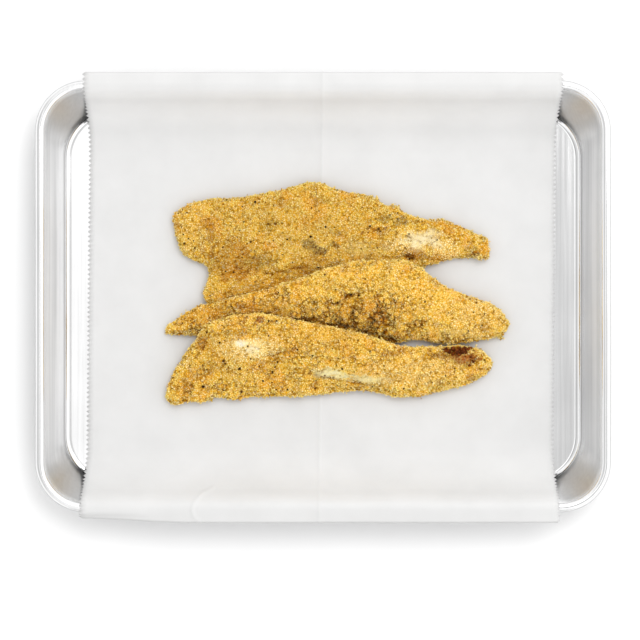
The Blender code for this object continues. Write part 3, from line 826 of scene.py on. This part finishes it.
def pan_profile(height):
    """Each ring's (inset, height, corner radius, satin, painted shade and reflection), from the floor over
    the rim to below.
    """
    top = (BEAD + BEAD * math.sin(WALL_SLOPE), height - BEAD + BEAD * math.cos(WALL_SLOPE))
    foot_height = SHEET + BEND * (1 - math.cos(WALL_SLOPE))
    foot = (top[0] + (top[1] - foot_height) / math.tan(WALL_SLOPE), foot_height)
    centre = (foot[0] + BEND * math.sin(WALL_SLOPE), SHEET + BEND)
    down, wall_side = math.radians(-90), WALL_SLOPE - math.radians(90)
    inside = arc(centre, BEND, down, wall_side, 12)
    outside = arc(centre, BEND + SHEET, wall_side, down, 12)
    meets = math.acos((BEAD - SHEET) / BEAD)
    leaves_wall = WALL_SLOPE + math.radians(90)
    ends = leaves_wall + meets - 2 * math.pi
    bead = arc((BEAD, height - BEAD), BEAD, leaves_wall, ends, BEAD_STEPS)
    wall = [tuple(a + (b - a) * i / 8 for a, b in zip(inside[-1], bead[0])) for i in range(1, 8)]
    rings = []
    for i, place in enumerate(inside + wall):
        # Painted dark reflection lines in the bend.
        dark_line = 0.9 if i in DARK_LINE_RINGS else 0.0
        rings.append((*place, corner_at(*place, foot, top), min(1.0, max(0.0, (i - 9) / 5)), dark_line))
    for i, place in enumerate(bead):
        angle = math.degrees(leaves_wall + (ends - leaves_wall) * i / BEAD_STEPS)
        # Painted shade on the bead's underside, and painted dark reflection lines along the bead.
        under = ease(-angle, -46, -26)
        dark_line = max(math.exp(-(((angle - line) / 3) ** 2)) for line in BEAD_LINES)
        rings.append((*place, RIM_CORNER - place[0], 0.0, max(under, 0.4 * dark_line)))
    # The pan's outside gets full painted shade.
    return rings + [(*place, corner_at(*place, foot, top), 0.5, 1.0) for place in outside]


def pan_ring(half_x, half_y, inset, height, corner):
    """Points round the pan, this far inside the rim's outer edge."""
    straight_x, straight_y = half_x - inset - corner, half_y - inset - corner
    ring = []
    for quarter, (sx, sy) in enumerate([(1, 1), (-1, 1), (-1, -1), (1, -1)]):
        centre = Vector((sx * straight_x, sy * straight_y, height))
        for step in range(CORNER_STEPS + 1):
            angle = math.radians(90) * (quarter + step / CORNER_STEPS)
            ring.append(centre + Vector((math.cos(angle), math.sin(angle), 0)) * corner)
        nx, ny = [(-1, 1), (-1, -1), (1, -1), (1, 1)][quarter]
        end = math.radians(90) * (quarter + 1)
        following = Vector((nx * straight_x, ny * straight_y, height))
        following += Vector((math.cos(end), math.sin(end), 0)) * corner
        start = ring[-1]
        ring += [start.lerp(following, step / SIDE_STEPS) for step in range(1, SIDE_STEPS)]
    return ring


def make_pan():
    """The pan with fine round edges and walls that wander a little, as drawn sheet does."""
    low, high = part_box("pan")
    half_x, half_y = (high.x - low.x) / 2, (high.y - low.y) / 2
    points, rings = [], []
    satin, painted_shade_and_reflection = [], []
    for inset, height, corner, ring_satin, ring_painted_shade_and_reflection in pan_profile(PAN_HEIGHT):
        ring = pan_ring(half_x, half_y, inset, height, corner)
        satin += [ring_satin] * len(ring)
        painted_shade_and_reflection += [ring_painted_shade_and_reflection] * len(ring)
        for point in ring:
            lift = min(1.0, max(0.0, (height - 2 * MM) / (10 * MM)))
            out = Vector((point.x / half_x, point.y / half_y, 0)).normalized()
            wander = noise.noise(Vector((point.x, point.y, point.z * 1.5)) / DENT_SIZE)
            point -= out * DENT * (1 + wander) * lift
        rings.append(range(len(points), len(points) + len(ring)))
        points += ring
    count = len(rings[0])
    faces = []
    for ring, after in zip(rings, rings[1:]):
        for i in range(count):
            following = (i + 1) % count
            faces.append((ring[i], ring[following], after[following], after[i]))
    faces += [tuple(reversed(rings[0])), tuple(rings[-1])]
    made = mesh_object("sheet_pan", points, faces)
    bm = bmesh.new()
    bm.from_mesh(made.data)
    bmesh.ops.recalc_face_normals(bm, faces=bm.faces)
    bm.to_mesh(made.data)
    bm.free()
    made.data.set_sharp_from_angle(angle=math.radians(50))
    places, _ = vertex_arrays(made.data)
    past = np.minimum(abs(places[:, 0]) - half_x, abs(places[:, 1]) - half_y) + RIM_CORNER
    corner = ease(past, -4 * MM, 6 * MM) * satin
    fields = {"satin": satin + corner, "drawn": satin - corner, "painted_shade_and_reflection": painted_shade_and_reflection, "corner": corner}
    for name, values in fields.items():
        attribute = made.data.attributes.new(name, "FLOAT", "POINT")
        attribute.data.foreach_set("value", np.array(values, np.float32))
    return made


# Parchment


def between(a, b, c, d, t):
    """A Catmull-Rom curve's value between b and c."""
    return b + 0.5 * t * (c - a + t * (2 * a - 5 * b + 4 * c - d + t * (3 * (b - c) + d - a)))


def smooth_curve(points):
    """A curve through tuples of numbers."""
    ends = [points[0], *points, points[-1]]
    curve = []
    for i in range(len(points) - 1):
        for step in range(CURVE_STEPS):
            curve.append(tuple(between(*four, step / CURVE_STEPS) for four in zip(*ends[i : i + 4])))
    return [*curve, points[-1]]


def parchment_path():
    """Evenly spaced (y, z) points of its middle line from front to back, half a tooth apart."""
    front, back = smooth_curve(FRONT_CURVE[::-1]), smooth_curve(BACK_CURVE)
    line = np.array([(-y, z) for y, z in front] + back) * MM + (0, PARCHMENT_MIDDLE)
    lengths = np.concatenate([[0], np.cumsum(np.linalg.norm(np.diff(line, axis=0), axis=1))])
    targets = np.linspace(0, lengths[-1], 2 * round(lengths[-1] / TOOTH_PITCH) + 1)
    return np.stack([np.interp(targets, lengths, line[:, i]) for i in range(2)], axis=1)


def from_path(x, y, places):
    """How far this point is, in plan, from a line through places in millimetres."""
    point, nearest = Vector((x, y)), 1.0
    for start, end in zip(places, places[1:]):
        foot, share = geometry.intersect_point_line(point, Vector(start) * MM, Vector(end) * MM)
        if 0 <= share <= 1:
            nearest = min(nearest, (point - foot).length)
        nearest = min(nearest, (point - Vector(start) * MM).length)
    return nearest


def make_parchment():
    """The strip of parchment: toothed ends, a soft crease down its middle, and waves where it is bent."""
    path = parchment_path()
    slopes = np.gradient(path, axis=0)
    slopes /= np.linalg.norm(slopes, axis=1)[:, None]
    half = PARCHMENT_WIDTH / 2
    inner = half - 3 * TOOTH_DEPTH
    columns = np.linspace(-inner, inner, round(2 * inner / PARCHMENT_COLUMN) + 1)
    near_crease = CREASE_X + np.array([-1.6, -0.8, 0, 0.8, 1.6]) * MM
    near_kink = np.arange(-74.5, -58, 0.6) * MM
    apart = (abs(columns - CREASE_X) > 2.4 * MM) & (abs(columns - near_kink.mean()) > 10 * MM)
    columns = np.sort(np.concatenate([columns[apart], near_crease, near_kink]))
    rows = []
    for i, ((y, z), (along_y, along_z)) in enumerate(zip(path, slopes)):
        reach = half - TOOTH_DEPTH if i % 2 == 0 else half
        row = []
        bent = ease(abs(y), 70 * MM, 100 * MM)
        for x in [-reach, *columns, reach]:
            wave = noise.noise(Vector((x / (44 * MM), y / (60 * MM), 0.3)))
            ripple = noise.noise(Vector((x / (17 * MM), y / (40 * MM), 4.1)))
            raised = (0.16 * wave + 0.04 * ripple) * MM + bent * (0.45 + 0.45 * wave + 0.2 * ripple) * MM
            raised += CREASE_HEIGHT * math.exp(-(((x - CREASE_X) / CREASE_WIDTH) ** 2))
            raised += KINK_HEIGHT * math.exp(-((from_path(x, y, KINK) / KINK_WIDTH) ** 2))
            flare = FLARE * ease(abs(y), FLOOR_END, RIM_START) * x / half
            skew = SKEW * (y / (246 * MM) - 0.5)
            to_left = ease(-x, DIP_FROM, DIP_TO)
            to_front = ease(-y, PAST_RIM, 128 * MM)
            dip = DIP * to_left * to_front
            row.append((x + flare + skew, y - along_z * raised + dip, z + along_y * raised - dip))
        rows.append(row)
    width = len(rows[0])
    points = [point for row in rows for point in row]
    faces = []
    for i in range(len(rows) - 1):
        for j in range(width - 1):
            a = i * width + j
            faces.append((a, a + 1, a + width + 1, a + width))
    made = mesh_object("parchment_sheet", points, faces)
    y = np.array(points)[:, 1]
    # Painted light: how much brighter the parchment's colour is made up the walls, fully on the back wall
    # and a fifth as much on the front one.
    painted_light_share = ease(abs(y), 95 * MM, 108 * MM) * (1 - ease(abs(y), 114 * MM, 120 * MM))
    painted_light_share *= np.where(y > 0, 1.0, 0.2)
    made.data.attributes.new("painted_wall_light", "FLOAT", "POINT").data.foreach_set("value", painted_light_share)
    thick = made.modifiers.new("thickness", "SOLIDIFY")
    thick.thickness = PARCHMENT
    thick.offset = 0
    return made


# Materials


def new_material(name):
    """A material, its node tree and its Principled shader."""
    made = bpy.data.materials.new(name)
    made.use_nodes = True
    return made, made.node_tree, made.node_tree.nodes["Principled BSDF"]


def add_noise(tree, scale, detail, roughness=0.5, stretch=(1, 1, 1)):
    """A noise texture in the object's space, with this many features to a metre."""
    place = tree.nodes.new("ShaderNodeTexCoord")
    mapping = tree.nodes.new("ShaderNodeMapping")
    mapping.inputs["Scale"].default_value = stretch
    texture = tree.nodes.new("ShaderNodeTexNoise")
    texture.inputs["Scale"].default_value = scale
    texture.inputs["Detail"].default_value = detail
    texture.inputs["Roughness"].default_value = roughness
    tree.links.new(place.outputs["Object"], mapping.inputs["Vector"])
    tree.links.new(mapping.outputs["Vector"], texture.inputs["Vector"])
    return texture.outputs["Fac"]


def add_range(tree, value, low, high, start=0.3, end=0.7):
    """The value's range from start to end, turned into low to high."""
    node = tree.nodes.new("ShaderNodeMapRange")
    node.inputs["From Min"].default_value = start
    node.inputs["From Max"].default_value = end
    node.inputs["To Min"].default_value = low
    node.inputs["To Max"].default_value = high
    tree.links.new(value, node.inputs["Value"])
    return node.outputs["Result"]


def add_bump(tree, height, distance, strength):
    """A normal that follows the height."""
    node = tree.nodes.new("ShaderNodeBump")
    node.inputs["Distance"].default_value = distance
    node.inputs["Strength"].default_value = strength
    tree.links.new(height, node.inputs["Height"])
    return node.outputs["Normal"]


def add_scaled(tree, colour, factor):
    """The colour times a number."""
    node = tree.nodes.new("ShaderNodeVectorMath")
    node.operation = "SCALE"
    tree.links.new(colour, node.inputs[0])
    tree.links.new(factor, node.inputs["Scale"])
    return node.outputs["Vector"]


def add_math(tree, operation, one, other):
    """The sum or product of two numbers."""
    node = tree.nodes.new("ShaderNodeMath")
    node.operation = operation
    tree.links.new(one, node.inputs[0])
    tree.links.new(other, node.inputs[1])
    return node.outputs["Value"]


def add_mixed(tree, factor, one, other):
    """A colour between two."""
    node = tree.nodes.new("ShaderNodeMix")
    node.data_type = "RGBA"
    node.inputs["A"].default_value = (*one, 1)
    node.inputs["B"].default_value = (*other, 1)
    tree.links.new(factor, node.inputs["Factor"])
    return node.outputs["Result"]


def add_attribute(tree, name):
    """A number stored at the mesh's points."""
    node = tree.nodes.new("ShaderNodeAttribute")
    node.attribute_name = name
    return node.outputs["Fac"]


def crust_material(name, roughness, bump):
    """Fried meal: the tint stored on the mesh, with fine mottling, oily in places."""
    made, tree, shader = new_material(name)
    tint = tree.nodes.new("ShaderNodeAttribute")
    tint.attribute_name = "tint"
    mottle = add_range(tree, add_noise(tree, 1500, 2), 0.88, 1.12)
    tree.links.new(add_scaled(tree, tint.outputs["Color"], mottle), shader.inputs["Base Color"])
    oily = add_range(tree, add_noise(tree, 160, 3), roughness - 0.1, roughness + 0.15)
    tree.links.new(oily, shader.inputs["Roughness"])
    tree.links.new(add_bump(tree, add_noise(tree, 2600, 3), 0.15 * MM, bump), shader.inputs["Normal"])
    gloss = add_range(tree, tint.outputs["Alpha"], 0.0, 0.75, 0, 1)
    tree.links.new(gloss, shader.inputs["Specular IOR Level"])
    return made


def pan_material():
    """Bright aluminium, satin on its walls, with fine lines, rougher corners darkened by painted shade,
    and painted shade and dark reflection lines in its bend, along and under its bead and on its outside.
    """
    made, tree, shader = new_material("pan_aluminium")
    shader.inputs["Metallic"].default_value = 1.0
    lines = add_noise(tree, 700, 2, stretch=(1, 0.015, 1))
    clouds = add_range(tree, add_noise(tree, 22, 3), 0, 1)
    base = add_mixed(tree, clouds, (0.80, 0.80, 0.802), (0.87, 0.87, 0.872))
    colour = add_scaled(tree, base, add_range(tree, lines, 0.95, 1.03))
    streaks = add_noise(tree, 240, 1, stretch=(1, 0.02, 1))
    names = ("satin", "drawn", "painted_shade_and_reflection", "corner")
    satin, drawn, painted_shade_and_reflection, corner = (add_attribute(tree, name) for name in names)
    streaks = add_math(tree, "MULTIPLY", add_range(tree, streaks, -0.1, 0.07, 0.35, 0.65), drawn)
    colour = add_scaled(tree, colour, add_range(tree, streaks, 0.8, 1.2, -0.2, 0.2))
    # Painted shade darkens the colour in the corners.
    colour = add_scaled(tree, colour, add_range(tree, corner, 1.0, 0.7, 0, 1))
    # Painted shade and dark reflection lines: in the bend, along and under the bead, and on the outside.
    colour = add_scaled(tree, colour, add_range(tree, painted_shade_and_reflection, 1.0, 0.48, 0, 1))
    tree.links.new(colour, shader.inputs["Base Color"])
    rough = add_math(tree, "ADD", add_range(tree, lines, 0.1, 0.18), add_range(tree, satin, 0, 0.2, 0, 1))
    tree.links.new(rough, shader.inputs["Roughness"])
    tree.links.new(add_bump(tree, lines, 0.03 * MM, 0.4), shader.inputs["Normal"])
    return made


def parchment_material():
    """White parchment: clouded fibres, a faint waxy gloss, and painted light that brightens it up the
    walls, most on the back wall.
    """
    made, tree, shader = new_material("parchment_paper")
    clouds = add_range(tree, add_noise(tree, 34, 4, 0.6), 0, 1)
    fibres = add_noise(tree, 900, 3, 0.7)
    base = add_mixed(tree, clouds, (0.585, 0.583, 0.579), (0.625, 0.623, 0.619))
    # Painted light brightens the colour up the walls by up to a fifth.
    painted_light = add_range(tree, add_attribute(tree, "painted_wall_light"), 1.0, 1.19, 0, 1)
    tree.links.new(add_scaled(tree, base, painted_light), shader.inputs["Base Color"])
    tree.links.new(add_range(tree, fibres, 0.45, 0.6), shader.inputs["Roughness"])
    tree.links.new(add_bump(tree, fibres, 0.05 * MM, 0.2), shader.inputs["Normal"])
    return made


# Stage


def make_floor():
    """A pale table top."""
    corners = [(-1, -1), (1, -1), (1, 1), (-1, 1)]
    points = [(x * TABLE_REACH, y * TABLE_REACH, -TABLE_DROP) for x, y in corners]
    made = mesh_object("table_top", points, [(0, 1, 2, 3)])
    material, _, shader = new_material("table_white")
    shader.inputs["Base Color"].default_value = (TABLE_ALBEDO, TABLE_ALBEDO, TABLE_ALBEDO, 1)
    shader.inputs["Roughness"].default_value = 0.6
    made.data.materials.append(material)


def add_light(name, place, size, power):
    """A square soft light that shines at the pan's middle."""
    data = bpy.data.lights.new(name, "AREA")
    data.shape = "SQUARE"
    data.size = size
    data.energy = power
    made = new_object(name, data)
    made.location = place
    made.rotation_euler = (-Vector(place)).to_track_quat("-Z", "Y").to_euler()


def make_world():
    """A pale room, a little brighter on the right, with the duller places that the pan reflects."""
    world = bpy.data.worlds.new("studio")
    world.use_nodes = True
    tree = world.node_tree
    place = tree.nodes.new("ShaderNodeTexCoord")
    total = None
    for towards, start, end, low, high in SKY:
        facing = tree.nodes.new("ShaderNodeVectorMath")
        facing.operation = "DOT_PRODUCT"
        facing.inputs[1].default_value = Vector(towards).normalized()
        tree.links.new(place.outputs["Generated"], facing.inputs[0])
        share = add_range(tree, facing.outputs["Value"], low, high, start, end)
        total = share if total is None else add_math(tree, "ADD", total, share)
    background = tree.nodes["Background"]
    background.inputs["Color"].default_value = (1, 1, 1, 1)
    tree.links.new(total, background.inputs["Strength"])
    bpy.context.scene.world = world


def make_camera():
    """The photograph's view."""
    data = bpy.data.cameras.new("camera")
    data.sensor_width = SENSOR
    data.lens = SENSOR * CAMERA_OVER_RIM / VIEW_WIDTH_AT_RIM
    data.clip_start = 0.01
    made = new_object("camera", data)
    made.location = (CAMERA_X, CAMERA_Y, PAN_HEIGHT + CAMERA_OVER_RIM)
    bpy.context.scene.camera = made


def main():
    """Builds every piece, the stage, the light and the camera."""
    bpy.context.scene.view_settings.view_transform = "Standard"
    make_camera()
    make_world()
    add_light("key", KEY_PLACE, KEY_SIZE, KEY_POWER)
    make_floor()
    finish_piece(make_pan(), "pan", pan_material())
    finish_piece(make_parchment(), "parchment", parchment_material())
    bed_material = crust_material("crust_bed", 0.55, 0.5)
    grain_material = crust_material("crust_grains", 0.42, 0.25)
    speck_material = crust_material("crust_specks", 0.5, 0.3)
    rng = np.random.default_rng(SEED)
    beds = {name: make_bed(name, seed, rng) for name, seed in FILLETS}
    trees = [tree_of(bed.data) for bed in beds.values()]
    for i, (name, seed) in enumerate(FILLETS):
        finish_piece(beds[name], name, bed_material)
        finish_piece(make_grains(name, beds[name], seed, trees[i + 1 :], rng), name, grain_material)
        finish_piece(make_specks(name, beds[name], rng), name, speck_material)


main()
